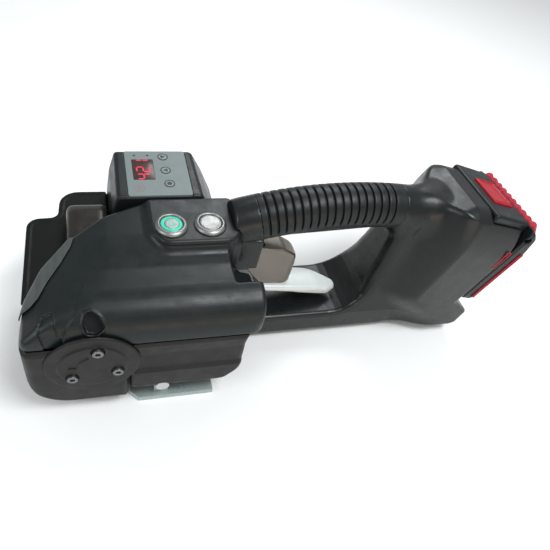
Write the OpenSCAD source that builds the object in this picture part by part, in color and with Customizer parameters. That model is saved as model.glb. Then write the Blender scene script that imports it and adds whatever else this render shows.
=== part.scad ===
// Battery strapping tool: tensions, friction welds and cuts plastic strap.
// +X runs from the nose to the battery, +Y to the side where the strap goes in, +Z up.
// The origin lies on the flat underside of the base plate, below the power button.

/* [Head casing] */
// Height of the deck that carries the two push buttons
deck_z = 112; // [111:0.5:113]
// Front end of the head casing
nose_x = -97; // [-99:0.5:-96]
// Motor side of the head casing
side_y = -74; // [-75:0.5:-73]
// Height of the seam between the upper casing and the lower covers
seam_z = 76; // [75:0.5:77]
// Wall thickness of the plastic covers
wall = 3; // [2.5:0.5:3.5]

/* [Push buttons] */
// Distance between the power button and the tension button
button_pitch = 26; // [25:0.5:27]
// Outer diameter of the button bezels
bezel_d = 22; // [21:0.5:23]
// Diameter of the moving button caps
cap_d = 15; // [14:0.5:15.4]

/* [Display] */
// Width of the display panel
panel_w = 45; // [43:0.5:46]
// Length of the display panel
panel_l = 47.5; // [46:0.5:48]
// Upward slope of the display panel away from the deck
panel_tilt = 3.25; // [2:0.25:4]

/* [Handle] */
// Radius of the arch that the handle follows
arch_r = 298; // [297:0.5:299]
// Diameter of the handle shells under the grip
handle_d = 29; // [28:0.5:29.4]
// Diameter of the rubber grip sleeve
grip_d = 32.6; // [32:0.2:34]
// Half the width of the lower beam
beam_half = 28; // [27:0.5:29]

/* [Battery] */
// Lean of the battery away from upright
battery_tilt = 16; // [15:0.5:17]
// Half the width of the battery foot
foot_half = 39; // [38.5:0.5:40]
// Height of the battery along its slide
battery_l = 80; // [79:0.5:81]

/* [Strap path] */
// Thickness of the base plate
base_t = 5; // [4:0.5:5.5]
// Diameter of the tension wheel
wheel_d = 38; // [37:0.5:38]
// Height of the lower strap faces
strap_z = 12; // [11.5:0.5:12]
// Width of the strap faces
strap_w = 22; // [20:0.5:23]

/* [Hidden] */

$fn = 48;
fit = 0.06;     // running fit between a shaft and its bore
gap = 0.3;      // clearance between pieces that move past each other
far_y = 20;     // far side of the upper casing
tail_x = 56;    // rear end of the motor bulge
deck_end = 47;  // rear end of the button deck
tail_end = 26;  // rear end of the rocker
bulge_r = 26;   // radius of the motor bulge
button_y = -8;  // line of the two buttons

drive = [-54, 60];   // x, z of the drive shaft, which is also the rocker's pivot
wheel = [-76, 32];   // x, z of the tension wheel's shaft
lever = [58, 81];    // x, z of the lever's pivot
motor = [-49, 60];   // y, z of the motor's shaft
weld = [27, 42];     // y, z of the eccentric shaft
strap_y = 26;        // middle of the strap path
// x, z and half-width of the casing at each screw that joins the two handle shells
handle_screws = [[54, 101, 18], [74, 14, beam_half], [150, 14, beam_half]];

wheel_r = min(wheel_d / 2, wheel[1] - strap_z - 1);
gear_gap = norm(drive - wheel);
drive_gear_r = gear_gap * 22 / 50;
wheel_gear_r = gear_gap * 28 / 50;
arch = [134, deck_z - 291];  // x, z of the centre of the handle's arch
dock = [240, 46];            // x, z of the lower end of the battery's joint face

// ---------- helpers ----------

function arc(x, y, r, a0, a1, n = 10) =
  [for (i = [0 : n]) let (a = a0 + (a1 - a0) * i / n) [x + r * cos(a), y + r * sin(a)]];

// Extrudes a drawing of y and z along X.
module along_x(x0, x1) {
  translate([x0, 0, 0])
    rotate([90, 0, 90])
      linear_extrude(x1 - x0)
        children();
}

// Extrudes a drawing of x and z along Y.
module along_y(y0, y1) {
  translate([0, y1, 0])
    rotate([90, 0, 0])
      linear_extrude(y1 - y0)
        children();
}

module rod_x(x0, x1, at, r) {
  translate([x0, at[0], at[1]])
    rotate([0, 90, 0])
      cylinder(r = r, h = x1 - x0);
}

module rod_y(y0, y1, at, r) {
  translate([at[0], y1, at[1]])
    rotate([90, 0, 0])
      cylinder(r = r, h = y1 - y0);
}

module ring_x(x0, x1, at, r_out, r_in) {
  difference() {
    rod_x(x0, x1, at, r_out);
    rod_x(x0 - 1, x1 + 1, at, r_in);
  }
}

module ring_y(y0, y1, at, r_out, r_in) {
  difference() {
    rod_y(y0, y1, at, r_out);
    rod_y(y0 - 1, y1 + 1, at, r_in);
  }
}

module box(x0, x1, y0, y1, z0, z1) {
  translate([x0, y0, z0])
    cube([x1 - x0, y1 - y0, z1 - z0]);
}

// Toothed outline of a gear or a knurled wheel.
module teeth(count, r_root, r_tip) {
  step = 360 / count;
  polygon([for (i = [0 : count - 1], k = [0 : 3])
    let (a = step * (i + [0.05, 0.3, 0.55, 0.8][k]), r = (k == 1 || k == 2) ? r_tip : r_root)
    [r * cos(a), r * sin(a)]]);
}

module gear_y(y0, y1, at, count, r_root, r_tip, bore) {
  difference() {
    translate([at[0], y1, at[1]])
      rotate([90, 0, 0])
        linear_extrude(y1 - y0)
          teeth(count, r_root, r_tip);
    rod_y(y0 - 1, y1 + 1, at, bore);
  }
}

module gear_x(x0, x1, at, count, r_root, r_tip, bore) {
  difference() {
    along_x(x0, x1)
      translate(at)
        teeth(count, r_root, r_tip);
    rod_x(x0 - 1, x1 + 1, at, bore);
  }
}

// ---------- head casing ----------

module casing_section(z0) {
  polygon(concat(
    [[far_y, z0], [far_y, deck_z], [-22, deck_z], [-25, deck_z - 1.5], [-34, deck_z - 9]],
    arc(side_y + bulge_r, seam_z, bulge_r, 90, 180),
    [[side_y, z0]]));
}

module casing_profile(z0) {
  polygon([[tail_x, z0], [tail_x, deck_z - 10], [deck_end + 1, deck_z], [-16, deck_z],
           [-42, deck_z - 3], [-66, deck_z - 10], [-84, deck_z - 19], [-94, deck_z - 28],
           [nose_x, deck_z - 33], [nose_x, z0]]);
}

module casing_plan() {
  polygon(concat(
    [[deck_end, far_y], [-16, far_y], [-45, 8], [-66, -6], [-82, -22], [-92, -40]],
    [[nose_x, -56]],
    arc(nose_x + 14, side_y + 14, 14, 180, 270),
    arc(tail_x - 10, side_y + 10, 10, 270, 360),
    [[tail_x, -27], [deck_end, -24]]));
}

module casing(inset, z0) {
  intersection() {
    along_x(nose_x, tail_x)
      offset(delta = -inset)
        casing_section(z0);
    along_y(side_y, far_y)
      offset(delta = -inset)
        casing_profile(z0);
    translate([0, 0, z0])
      linear_extrude(deck_z)
        offset(delta = -inset)
          casing_plan();
  }
}

module main_housing() {
  color("#23272a")
  difference() {
    casing(0, seam_z);
    casing(wall, seam_z - wall - 1);
    for (x = [0, button_pitch])
      translate([x, button_y, deck_z - 10])
        cylinder(r = 8.2, h = 20);
    translate([-50, -61, deck_z - 25])
      cylinder(r = 6, h = 30);
    box(deck_end - 5, deck_end + 5, -14, 10, 62, 98);
  }
}

module nose_guard() {
  color("#9aa3a6")
  difference() {
    intersection() {
      along_y(-62, far_y)
        translate([0, 1.4])
          casing_profile(seam_z + 1);
      translate([0, 0, seam_z + 1])
        linear_extrude(40)
          difference() {
            casing_plan();
            offset(delta = -11)
              casing_plan();
          }
      box(nose_x, -62, -62, -4, seam_z, deck_z);
    }
    along_y(side_y, far_y)
      casing_profile(seam_z);
  }
}

module gear_housing_profile() {
  polygon(concat(
    [[nose_x, seam_z], [nose_x, 44]],
    arc(nose_x + 32, 44, 32, 180, 270),
    [[-31, 12], [-31, seam_z]]));
}

module gear_housing() {
  color("#2b2b2b")
  difference() {
    union() {
      difference() {
        intersection() {
          along_y(side_y, -30)
            gear_housing_profile();
          linear_extrude(seam_z)
            casing_plan();
        }
        intersection() {
          along_y(side_y + wall, -29)
            offset(delta = -wall)
              gear_housing_profile();
          linear_extrude(seam_z)
            offset(delta = -wall)
              casing_plan();
        }
        box(-91, -34, side_y + wall, -29, 60, seam_z + 1);
        box(-35, -30, side_y + wall, -29, 15, seam_z + 1);
      }
      rod_y(side_y + 1, -62, drive, 14);
    }
    rod_y(-70, -61, drive, 11);
  }
}

module gear_cover() {
  color("#2e2d2c")
  difference() {
    union() {
      rod_y(side_y - 2, side_y, drive, 29);
      rod_y(side_y - 3, side_y - 2, drive, 21);
    }
    for (a = [78, 219, 337])
      rod_y(side_y - 4, side_y + 1, drive + 16.5 * [cos(a), sin(a)], 2.2);
  }
}

module cover_screws() {
  color("#8d9094") {
    for (a = [78, 219, 337])
      translate([0, side_y, 0]) {
        rod_y(-4.6, -3, drive + 16.5 * [cos(a), sin(a)], 3.6);
        rod_y(-3, 0, drive + 16.5 * [cos(a), sin(a)], 2);
      }
    for (s = handle_screws) {
      rod_y(-s[2] + 5, s[2] - 2.6, [s[0], s[1]], 1.8);
      rod_y(s[2] - 2.6, s[2] - 0.4, [s[0], s[1]], 3.4);
    }
  }
}

module motor_cover_section() {
  polygon(concat(
    [[-31, seam_z], [-31, 26]],
    arc(side_y + 12, 38, 12, 270, 180),
    [[side_y, seam_z]]));
}

module motor_cover_profile() {
  polygon(concat(
    [[-31, seam_z], [-31, 26]],
    arc(36, 36, 10, 270, 360),
    [[46, seam_z]]));
}

module motor_cover() {
  color("#2b2b2b")
  difference() {
    intersection() {
      along_x(-31, 46)
        motor_cover_section();
      along_y(side_y, -31)
        motor_cover_profile();
    }
    intersection() {
      along_x(-31, 46)
        offset(delta = -wall)
          motor_cover_section();
      along_y(side_y, -31)
        offset(delta = -wall)
          motor_cover_profile();
    }
    box(-32, 43, side_y + wall, -30, 60, seam_z + 1);
    box(-32, 43, -35, -30, 29, seam_z + 1);
    box(-32, -27, side_y + wall, -30, 29, seam_z + 1);
  }
}

module front_shield() {
  color("#1c1d1e")
  translate([0, 0, 78])
    linear_extrude(2.5)
      polygon(concat(
        [[-95, -40]],
        arc(-89, 31, 6, 180, 90, 6),
        [[-76, 38], [-71, 50], [-62, 64], [-38.5, 66], [-38.5, 11.5], [-45, 8.5],
         [-66, -5.5], [-82, -21.5], [-92.4, -40]]));
}

module unit_cover_shape(inset) {
  intersection() {
    along_x(-68 + inset, -39 - inset)
      polygon(concat(
        [[-6, 80.5]],
        arc(22, 78.5, 20 - inset, 6, 90),
        [[-6, 98.5 - inset]]));
    along_y(-6, 42)
      polygon(concat(
        [[-39 - inset, 80.5]],
        arc(-46, 90, 8 - inset, 0, 90, 6),
        arc(-60, 90, 8 - inset, 90, 180, 6),
        [[-68 + inset, 80.5]]));
    linear_extrude(120)
      polygon([[-39, 11.5 + inset], [-45, 8.7 + inset], [-66, -5.3 + inset], [-68, -6],
               [-68, 42], [-39, 42]]);
  }
}

module tension_unit_cover() {
  color("#3a3632")
  difference() {
    unit_cover_shape(0);
    unit_cover_shape(2.4);
  }
}

// ---------- base and strap path ----------

module base_plate() {
  color("#b9bdbf")
  difference() {
    union() {
      linear_extrude(base_t)
        polygon([[-24, -72], [30, -72], [30, -36], [44, -36], [44, 44], [-95, 44],
                 [-95, -12], [-30, -12], [-30, -66]]);
      box(-13, -3, -68, -62, base_t, 25);
    }
    rod_y(-80, -50, [-8, 18], 3.6);
  }
}

module base_pin() {
  color("#d6d6d2") {
    rod_y(-72, -68, [-8, 18], 4.8);
    rod_y(-68, -56, [-8, 18], 3.5);
  }
}

// Block with ridges across its top that grip the lower strap.
module ridged_block(x0, x1, z0, z1, ridges) {
  pitch = (x1 - x0) / ridges;
  along_y(strap_y - strap_w / 2, strap_y + strap_w / 2)
    polygon(concat(
      [[x0, z0], [x0, z1 - 0.8]],
      [for (i = [0 : ridges - 1], k = [0, 1])
        [x0 + pitch * (i + 0.5 * k + 0.25), z1 - (k == 0 ? 0 : 0.8)]],
      [[x1, z1 - 0.8], [x1, z0]]));
}

module gripper_plate() {
  color("#8b8f94")
  ridged_block(-90, -62, base_t, strap_z, 14);
}

module weld_anvil() {
  color("#8b8f94")
  ridged_block(-8, 16, base_t, strap_z, 12);
}

// ---------- frame castings ----------

module head_frame() {
  color("#a8adb0")
  difference() {
    union() {
      box(-72, 34, -28, -20, base_t, 84);
      box(28, 34, -20, 39, base_t, 50);
      box(34, 62, -12, 12, 7.5, 22);
      box(-30, -26, -66, -28, 41, 80);
    }
    rod_y(-29, -19, drive, 11);
    rod_x(-31, -25, motor, 6);
    rod_x(27, 35, weld, 5);
    box(-20, 20, -29, -19, 20, 50);
  }
}

module weld_frame() {
  color("#a8adb0")
  difference() {
    union() {
      box(-42, 28, 15, 39, 54, 60);
      box(-18, -12, 15, 39, 30, 54);
      box(22, 28, 15, 39, 30, 54);
      box(-42, -28, 15, 39, 26, 54);
    }
    for (x = [-19, 21])
      rod_x(x, x + 8, weld, 8);
    box(-36 - fit, -34 + fit, 16 - fit, 37 + fit, 20, 50);
  }
}

module cutter_blade() {
  color("#c9ccce")
  along_y(16, 37)
    polygon([[-36, 46], [-36, 17], [-34, 15.5], [-34, 46]]);
}

module weld_arm() {
  color("#9a9fa3")
  difference() {
    box(-5, 13, weld[0] - 11, weld[0] + 11, 18, 53);
    rod_x(-6, 14, weld, 9.6);
  }
}

module weld_plate() {
  color("#8b8f94")
  mirror([0, 0, 1])
    translate([0, 0, -18 - strap_z - 1])
      ridged_block(-5, 13, strap_z + 1, 18, 9);
}

module weld_unit_cover() {
  color("#1f2123")
  difference() {
    along_y(15, 66)
      polygon([[-46, 18], [-46, 77.8], [44, 77.8], [deck_end, 66], [deck_end, 18]]);
    along_y(14, 63)
      polygon([[-43, 14], [-43, 80], [41.5, 80], [deck_end - 3, 66], [deck_end - 3, 14]]);
    box(-50, deck_end + 1, 14, far_y + gap, seam_z - gap, 80);
  }
}

// ---------- display ----------

module on_panel() {
  translate([0, 20.4, deck_z + 0.6])
    rotate([panel_tilt, 0, 0])
      children();
}

module display_block(inset) {
  top = deck_z + 0.6 - inset;
  rise = 49.6 * tan(panel_tilt);
  intersection() {
    along_x(-50, 60)
      polygon([[20.4 + inset, 78 - inset], [20.4 + inset, top], [70 - inset, top + rise],
               [70 - inset, 78 - inset]]);
    along_y(20.4 + inset, 70 - inset)
      polygon([[-31 + inset, 120], [22 - inset, 120], [34 - inset, 100], [44 - inset, 80],
               [44 - inset, 78 - inset], [-38 + inset, 78 - inset], [-36 + inset, 100]]);
  }
}

module display_housing() {
  color("#1c1e20")
  difference() {
    display_block(0);
    display_block(2.5);
    box(-34, 40, 24, 66, 70, 80);
    on_panel()
      box(-25.3, -25.3 + panel_w, 0.8, 0.8 + panel_l, -1.2, 5);
    on_panel()
      box(-21, 12, 6, 46, -6, 5);
  }
}

up_key_at = [2.8, 41.6];
down_key_at = [3.2, 26.8];
settings_key_at = [4.3, 12.7];
key_r = 3.6;

module display_panel() {
  color("#a9adb2")
  on_panel()
    difference() {
      box(-25.3, -25.3 + panel_w, 0.8, 0.8 + panel_l, -1.2, 0.4);
      box(-20.4, -5, 17, 39, -2, 1);
      for (p = [up_key_at, down_key_at, settings_key_at])
        translate([p[0], p[1], -2])
          cylinder(r = key_r + fit, h = 4);
    }
}

module display_window() {
  color("#3a1518")
  on_panel()
    box(-20.4, -5, 17, 39, -1.2, 0.2);
}

module panel_key(at) {
  color("#b7babd")
  on_panel()
    translate([at[0], at[1], -1.4])
      cylinder(r = key_r, h = 2.2);
}

module up_key() {
  panel_key(up_key_at);
}

module down_key() {
  panel_key(down_key_at);
}

module settings_key() {
  panel_key(settings_key_at);
}

module control_board() {
  color("#1d5a3c") {
    box(-32, 30, 26, 62, 84, 85.6);
    box(-20, 0, 34, 52, 85.6, 92);
    box(8, 22, 30, 44, 85.6, 89);
  }
}

// ---------- push buttons ----------

module bezel(x) {
  color("#c4c6c6")
  translate([x, button_y, deck_z])
    difference() {
      union() {
        translate([0, 0, -18])
          cylinder(r = 8.1, h = 18.5);
        cylinder(r = bezel_d / 2, h = 1.4);
        translate([0, 0, 1.4])
          cylinder(r1 = bezel_d / 2, r2 = bezel_d / 2 - 1.4, h = 1.2);
      }
      translate([0, 0, -19])
        cylinder(r = cap_d / 2 + fit, h = 25);
    }
}

module power_button_bezel() {
  bezel(0);
}

module tension_button_bezel() {
  bezel(button_pitch);
}

module power_button_cap() {
  color("#c9cbcb")
  translate([0, button_y, deck_z])
    difference() {
      translate([0, 0, -8])
        cylinder(r = cap_d / 2, h = 10.6);
      difference() {
        translate([0, 0, 1.8])
          cylinder(r = 6.9, h = 2);
        translate([0, 0, 1])
          cylinder(r = 4.9, h = 4);
      }
    }
}

module power_light_ring() {
  color("#5fe3c6")
  translate([0, button_y, deck_z + 1.8])
    difference() {
      cylinder(r = 6.9, h = 0.8);
      translate([0, 0, -1])
        cylinder(r = 4.9, h = 3);
    }
}

module tension_button_cap() {
  color("#c9cbcb")
  translate([button_pitch, button_y, deck_z - 8])
    cylinder(r = cap_d / 2, h = 10.6);
}

// ---------- handle, beam and battery foot ----------

// A round bar bent along the handle's arch, between two angles from upright.
module arched_bar(a0, a1, r) {
  translate([arch[0], 0, arch[1]])
    rotate([90, 0, 0])
      rotate([0, 0, 90 - a1])
        rotate_extrude(angle = a1 - a0, $fn = 360)
          translate([arch_r, 0])
            circle(r = r, $fn = 48);
}

module arch_disc(a, r, t) {
  translate([arch[0], 0, arch[1]])
    rotate([0, a, 0])
      translate([0, 0, arch_r])
        rotate([0, 90, 0])
          cylinder(r = r, h = t, $fn = 32);
}

module in_dock() {
  translate([dock[0], 0, dock[1]])
    rotate([0, battery_tilt, 0])
      children();
}

module foot_body() {
  difference() {
    hull() {
      box(160, 163, -24, 24, 5, 94);
      along_y(-foot_half, foot_half)
        polygon([[206, 12], [233, 9], [249, 9], [254, 12], [258, 28]]);
      in_dock()
        box(-45, 3, -foot_half, foot_half, 0, battery_l - 4);
    }
    along_y(-60, 60)
      polygon([[dock[0], dock[1]], [258, 28], [300, 28],
               [300, 150], [dock[0] + (150 - dock[1]) * tan(battery_tilt), 150]]);
  }
  hull() {
    arch_disc(6.5, handle_d / 2 + 0.5, 3);
    in_dock()
      box(-45, -42, -foot_half, foot_half, 28, battery_l - 4);
  }
}

module foot_hollow() {
  hull() {
    box(164, 166, -20, 20, 9, 90);
    in_dock()
      box(-42, -40, 3 - foot_half, foot_half - 3, -14, battery_l - 10);
  }
  hull() {
    arch_disc(6, handle_d / 2 - 3.2, 3);
    in_dock()
      box(-42, -40, 3 - foot_half, foot_half - 3, 34, battery_l - 8);
  }
  in_dock() {
    box(-37, 1, 7 - foot_half, foot_half - 7, -1, battery_l + 20);
    box(-34, -14, -20.5, 20.5, -9, 0);
  }
}

module handle_frame() {
  difference() {
    union() {
      arched_bar(-16.9, 7.5, handle_d / 2);
      box(deck_end + 0.3, 62, -18, 18, 72, deck_z - 8);
      along_y(-beam_half, beam_half)
        polygon([[deck_end + 0.3, 4], [162, 4], [162, 26], [66, 26], [60, 34], [deck_end + 0.3, 40]]);
      foot_body();
    }
    arched_bar(-18, 7.5, handle_d / 2 - 2.5);
    box(deck_end - 1, 64, -14, 14, 70, 98);
    along_y(3 - beam_half, beam_half - 3)
      polygon([[deck_end - 1, 7], [165, 7], [165, 23], [65, 23], [58, 31], [deck_end - 1, 37]]);
    foot_hollow();
    rod_y(-20, 20, lever, 3 + fit);
    box(30, deck_end + gap, -20, 20, 60, 130);
    for (s = handle_screws) {
      rod_y(-s[2] + 4, s[2] + 1, [s[0], s[1]], 1.9);
      rod_y(s[2] - 2.8, s[2] + 1, [s[0], s[1]], 3.6);
    }
  }
}

module near_handle_shell() {
  color("#22272a")
  intersection() {
    handle_frame();
    box(0, 300, -60, 0, 0, 160);
  }
}

module far_handle_shell() {
  color("#22272a")
  intersection() {
    handle_frame();
    box(0, 300, 0, 60, 0, 160);
  }
}

module grip_sleeve() {
  color("#1b1e20")
  difference() {
    arched_bar(-14, 6, grip_d / 2);
    arched_bar(-15, 7, handle_d / 2);
  }
}

module terminal_block() {
  color("#2a2a2e")
  in_dock() {
    box(-33, -15, -20, 20, -9, -1.4);
    for (y = [-15, -5, 5, 15])
      box(-29, -21, y - 0.5, y + 0.5, -1.4, 6);
  }
}

// ---------- lever ----------

// The cast paddle that the fingers squeeze.
module rocker_lever() {
  color("#e6e6e2")
  intersection() {
    along_y(-14, 10)
      polygon(concat(
        [[70, 50], [70, 45.5], [100, 40.5], [130, 34.5]],
        arc(137, 37, 3.6, 240, 420, 8),
        [[122, 43], [100, 47]]));
    linear_extrude(80)
      polygon(concat(
        [[66, -14]],
        arc(129, -2, 12, -90, 90, 12),
        [[66, 10]]));
  }
}

// The bent plate between the paddle and the pivot, with its nose over the rocker.
module lever_plate() {
  color("#9b8d84")
  difference() {
    union() {
      for (y = [-10, 3])
        along_y(y, y + 3)
          polygon([[50, 75], [20, 67], [20, 75], [50, 89], [60, 90], [84, 84], [97, 76],
                   [100, 66], [100, 47], [72, 49.8], [66, 58], [56, 73]]);
      box(16, 22, -12, 8, 66.6, 73);
      box(94, 100, -7, 3, 48, 58);
    }
    rod_y(-20, 20, lever, 3 + fit);
  }
}

module lever_pin() {
  color("#b5b8ba")
  rod_y(-17.5, 17.5, lever, 3);
}

module lever_spring() {
  color("#8f9397")
  for (i = [0 : 3])
    translate([lever[0], 7.8 + 1.5 * i, lever[1]])
      rotate([90, 0, 0])
        rotate_extrude()
          translate([4.6, 0])
            circle(r = 0.7, $fn = 16);
}

// ---------- rocker and tension wheel ----------

module rocker_cheek(y0, y1) {
  difference() {
    union() {
      rod_y(y0, y1, drive, 12);
      rod_y(y0, y1, wheel, 12);
      along_y(y0, y1)
        polygon([drive + [-12, 2], drive + [8, -8], wheel + [11, -4], wheel + [-11, 4]]);
      box(drive[0], tail_end, y0, y1, 56, 66);
    }
    rod_y(y0 - 1, y1 + 1, drive, 7);
    rod_y(y0 - 1, y1 + 1, wheel, 8);
  }
}

module rocker_arm() {
  color("#a0a5a8") {
    rocker_cheek(-17, -9);
    rocker_cheek(5, 12);
    box(-33, -27, -9, 5, 56, 66);
    box(14, tail_end, -9, 5, 56, 66);
  }
}

module rocker_bearings() {
  color("#c9a35a") {
    ring_y(-17, -9, drive, 7, 4 + fit);
    ring_y(5, 12, drive, 7, 4 + fit);
  }
  color("#b8bcbe") {
    ring_y(-17, -9, wheel, 8, 5 + fit);
    ring_y(5, 12, wheel, 8, 5 + fit);
  }
}

module tension_wheel() {
  color("#7c8085")
  gear_y(strap_y - strap_w / 2 + 1, strap_y + strap_w / 2 - 1, wheel, 60, wheel_r - 0.7, wheel_r, 5);
}

module tension_shaft() {
  color("#b5b8ba") {
    rod_y(-18, 40, wheel, 5);
    rod_y(strap_y + strap_w / 2 - 1, 40, wheel, 8);
  }
}

module wheel_gear() {
  color("#8f9498")
  gear_y(-7, 3, wheel, 28, wheel_gear_r - 2, wheel_gear_r - gap, 5);
}

module drive_shaft() {
  color("#b5b8ba")
  rod_y(-70, 13, drive, 4);
}

module drive_gear() {
  color("#8f9498")
  gear_y(-7, 3, drive, 22, drive_gear_r - 2, drive_gear_r - gap, 4);
}

module crown_gear() {
  color("#8f9498")
  difference() {
    union() {
      rod_y(-40, -34, drive, 17);
      for (i = [0 : 27])
        translate([drive[0], -40, drive[1]])
          rotate([0, i * 360 / 28, 0])
            translate([11, -1.6, -0.7])
              cube([5.5, 1.8, 1.4]);
    }
    rod_y(-45, -30, drive, 4);
  }
}

// ---------- motor and belt ----------

module motor_can() {
  color("#6f7377")
  difference() {
    union() {
      rod_x(-26, 32, motor, 18.5);
      rod_x(32, 34, motor, 8);
    }
    rod_x(-27, 35, motor, 2.6);
  }
}

module motor_shaft() {
  color("#b5b8ba")
  rod_x(-43, 42.5, motor, 2.5);
}

module motor_pinion() {
  color("#8f9498")
  gear_x(-42, -33, motor, 14, 5.2, 6.4, 2.5);
}

module motor_pulley() {
  color("#a0a4a8")
  gear_x(36, 42, motor, 20, 7.2, 7.9, 2.5);
}

module eccentric_shaft() {
  color("#b5b8ba") {
    rod_x(-20, 42.5, weld, 4);
    rod_x(-4, 12, weld + [1.2, 0], 7);
  }
}

module eccentric_pulley() {
  color("#a0a4a8")
  gear_x(36, 42, weld, 20, 7.2, 7.9, 4);
}

module belt_loop(r) {
  hull() {
    translate(motor)
      circle(r = r);
    translate(weld)
      circle(r = r);
  }
}

module drive_belt() {
  color("#151515")
  along_x(36.5, 41.5)
    difference() {
      belt_loop(9.8);
      belt_loop(8.2);
    }
}

module shaft_bearings() {
  color("#b8bcbe") {
    ring_y(-70, -63, drive, 11, 4 + fit);
    ring_y(-28, -21, drive, 11, 4 + fit);
    ring_x(-18, -12, weld, 8, 4 + fit);
    ring_x(22, 28, weld, 8, 4 + fit);
  }
}

// ---------- battery ----------

module battery_upper_case() {
  color("#26282a")
  in_dock()
    difference() {
      box(-36, 0, 8 - foot_half, foot_half - 8, 0.5, battery_l);
      box(-33.6, 1, 10.4 - foot_half, foot_half - 10.4, 3, battery_l - 2.4);
      box(-27.5, -6.5, -14.5, 14.5, battery_l - 4, battery_l + 1);
      for (y = [-15, -5, 5, 15])
        box(-30, -20, y - 1.3, y + 1.3, 0, 12);
    }
}

module lower_case_outline() {
  polygon([[0.3, 2], [11.5, 2], [13.5, 4], [13.5, 60], [9, 71], [0.3, battery_l]]);
}

module battery_lower_case() {
  color("#26282a")
  in_dock()
    difference() {
      along_y(1 - foot_half, foot_half - 1)
        lower_case_outline();
      along_y(3.4 - foot_half, foot_half - 3.4)
        polygon([[-1, 4.4], [11.1, 4.4], [11.1, 60], [7, 69], [-1, battery_l - 5]]);
    }
}

// Red grip ribs across the top edge and a red stripe down each side.
module battery_trim() {
  color("#c51f26")
  in_dock() {
    for (i = [0 : 9])
      translate([9.6, -29 + i * 58 / 9, 70.5])
        rotate([0, -37, 0])
          translate([0, 0, -6])
            cylinder(r = 2.6, h = 15);
    for (y = [1 - foot_half - 0.6, foot_half - 1])
      box(9.8, 12.4, y, y + 0.6, 5, 59);
  }
}

module battery_cells() {
  color("#3d6fb0")
  in_dock() {
    for (y = [-18.6, 0, 18.6])
      translate([-20, y, 6.5])
        cylinder(r = 9, h = 65);
    for (y = [-9.3, 9.3])
      translate([-3.4, y, 5])
        cylinder(r = 9, h = 65);
  }
}

module battery_latch() {
  color("#d3222a")
  in_dock()
    box(-27.2, -6.8, -14.2, 14.2, battery_l - 4.6, battery_l + 1.4);
}

main_housing();
gear_housing();
gear_cover();
cover_screws();
motor_cover();
nose_guard();
front_shield();
tension_unit_cover();
base_plate();
base_pin();
gripper_plate();
weld_anvil();
head_frame();
weld_frame();
weld_unit_cover();
display_housing();
display_panel();
display_window();
control_board();
power_button_bezel();
tension_button_bezel();
power_button_cap();
power_light_ring();
tension_button_cap();
up_key();
down_key();
settings_key();
near_handle_shell();
far_handle_shell();
grip_sleeve();
terminal_block();
lever_pin();
lever_spring();
motor_can();
shaft_bearings();
drive_belt();
rocker_arm();
rocker_bearings();
tension_wheel();
tension_shaft();
wheel_gear();
drive_shaft();
crown_gear();
drive_gear();
motor_shaft();
motor_pinion();
motor_pulley();
eccentric_shaft();
eccentric_pulley();
weld_arm();
weld_plate();
cutter_blade();
rocker_lever();
lever_plate();
battery_upper_case();
battery_lower_case();
battery_trim();
battery_cells();
battery_latch();
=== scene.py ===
import math

import bmesh
import bpy
import numpy as np
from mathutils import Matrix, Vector


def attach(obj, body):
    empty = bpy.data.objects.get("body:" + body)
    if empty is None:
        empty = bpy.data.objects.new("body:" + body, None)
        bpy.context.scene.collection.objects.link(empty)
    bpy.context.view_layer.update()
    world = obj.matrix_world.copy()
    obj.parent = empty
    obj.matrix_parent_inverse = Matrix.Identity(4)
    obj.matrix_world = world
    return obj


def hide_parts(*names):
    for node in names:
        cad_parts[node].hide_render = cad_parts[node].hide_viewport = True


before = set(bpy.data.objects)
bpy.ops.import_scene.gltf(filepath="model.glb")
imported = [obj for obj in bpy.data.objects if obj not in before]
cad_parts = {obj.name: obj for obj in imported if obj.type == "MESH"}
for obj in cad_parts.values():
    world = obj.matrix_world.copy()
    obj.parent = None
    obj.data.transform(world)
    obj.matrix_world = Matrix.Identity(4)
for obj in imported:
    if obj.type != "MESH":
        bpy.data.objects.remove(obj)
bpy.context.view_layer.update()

MM = 0.001

# Sizes shared with part.scad, in millimetres.
DECK_Z = 112
NOSE_X = -97
SIDE_Y = -74
SEAM_Z = 76
WALL = 3
FAR_Y = 20
DECK_END = 47
TAIL_X = 56
BULGE_R = 26
BUTTON_Y = -8
BUTTON_PITCH = 26
BUTTONS = (0, BUTTON_PITCH)
BUTTON_HOLE_R = 8.2
DRIVE = (-54, 60)
LEVER = (58, 81)
ARCH = (134, -179)
ARCH_R = 298
HANDLE_R = 14.5
GRIP_R = 16.3
DOCK = (240, 46)
DOCK_TILT = math.radians(16)
FOOT_HALF = 39
BATTERY_L = 80
PANEL = (-25.3, 19.7, 0.8, 48.3)
PANEL_TILT = math.radians(3.25)
PANEL_AT = (20.4, DECK_Z + 0.6)
KEYS = {"up_key": (2.8, 41.6), "down_key": (3.2, 26.8), "settings_key": (4.3, 12.7)}
KEY_R = 3.6
SCREW_RING_R = 16.5
COVER_SCREWS = [(DRIVE[0] + SCREW_RING_R * math.cos(math.radians(a)),
                 DRIVE[1] + SCREW_RING_R * math.sin(math.radians(a))) for a in (78, 219, 337)]
HANDLE_SCREWS = [(54, 101, 18), (74, 14, 28), (150, 14, 28)]


# ---------- distance fields: negative inside, in millimetres ----------

def meet(radius, *fields):
    """Where all the fields overlap, with the edges between them rounded."""
    deepest = fields[0]
    spread = 0
    for field in fields:
        deepest = np.maximum(deepest, field)
        spread = spread + np.maximum(field + radius, 0) ** 2
    return np.minimum(deepest, -radius) + np.sqrt(spread)


def join(radius, *fields):
    """All the fields together, with fillets between them."""
    return -meet(radius, *[-field for field in fields])


def cut(radius, field, *holes):
    return meet(radius, field, *[-hole for hole in holes])


def slab(w, low, high):
    return np.maximum(low - w, w - high)


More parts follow.
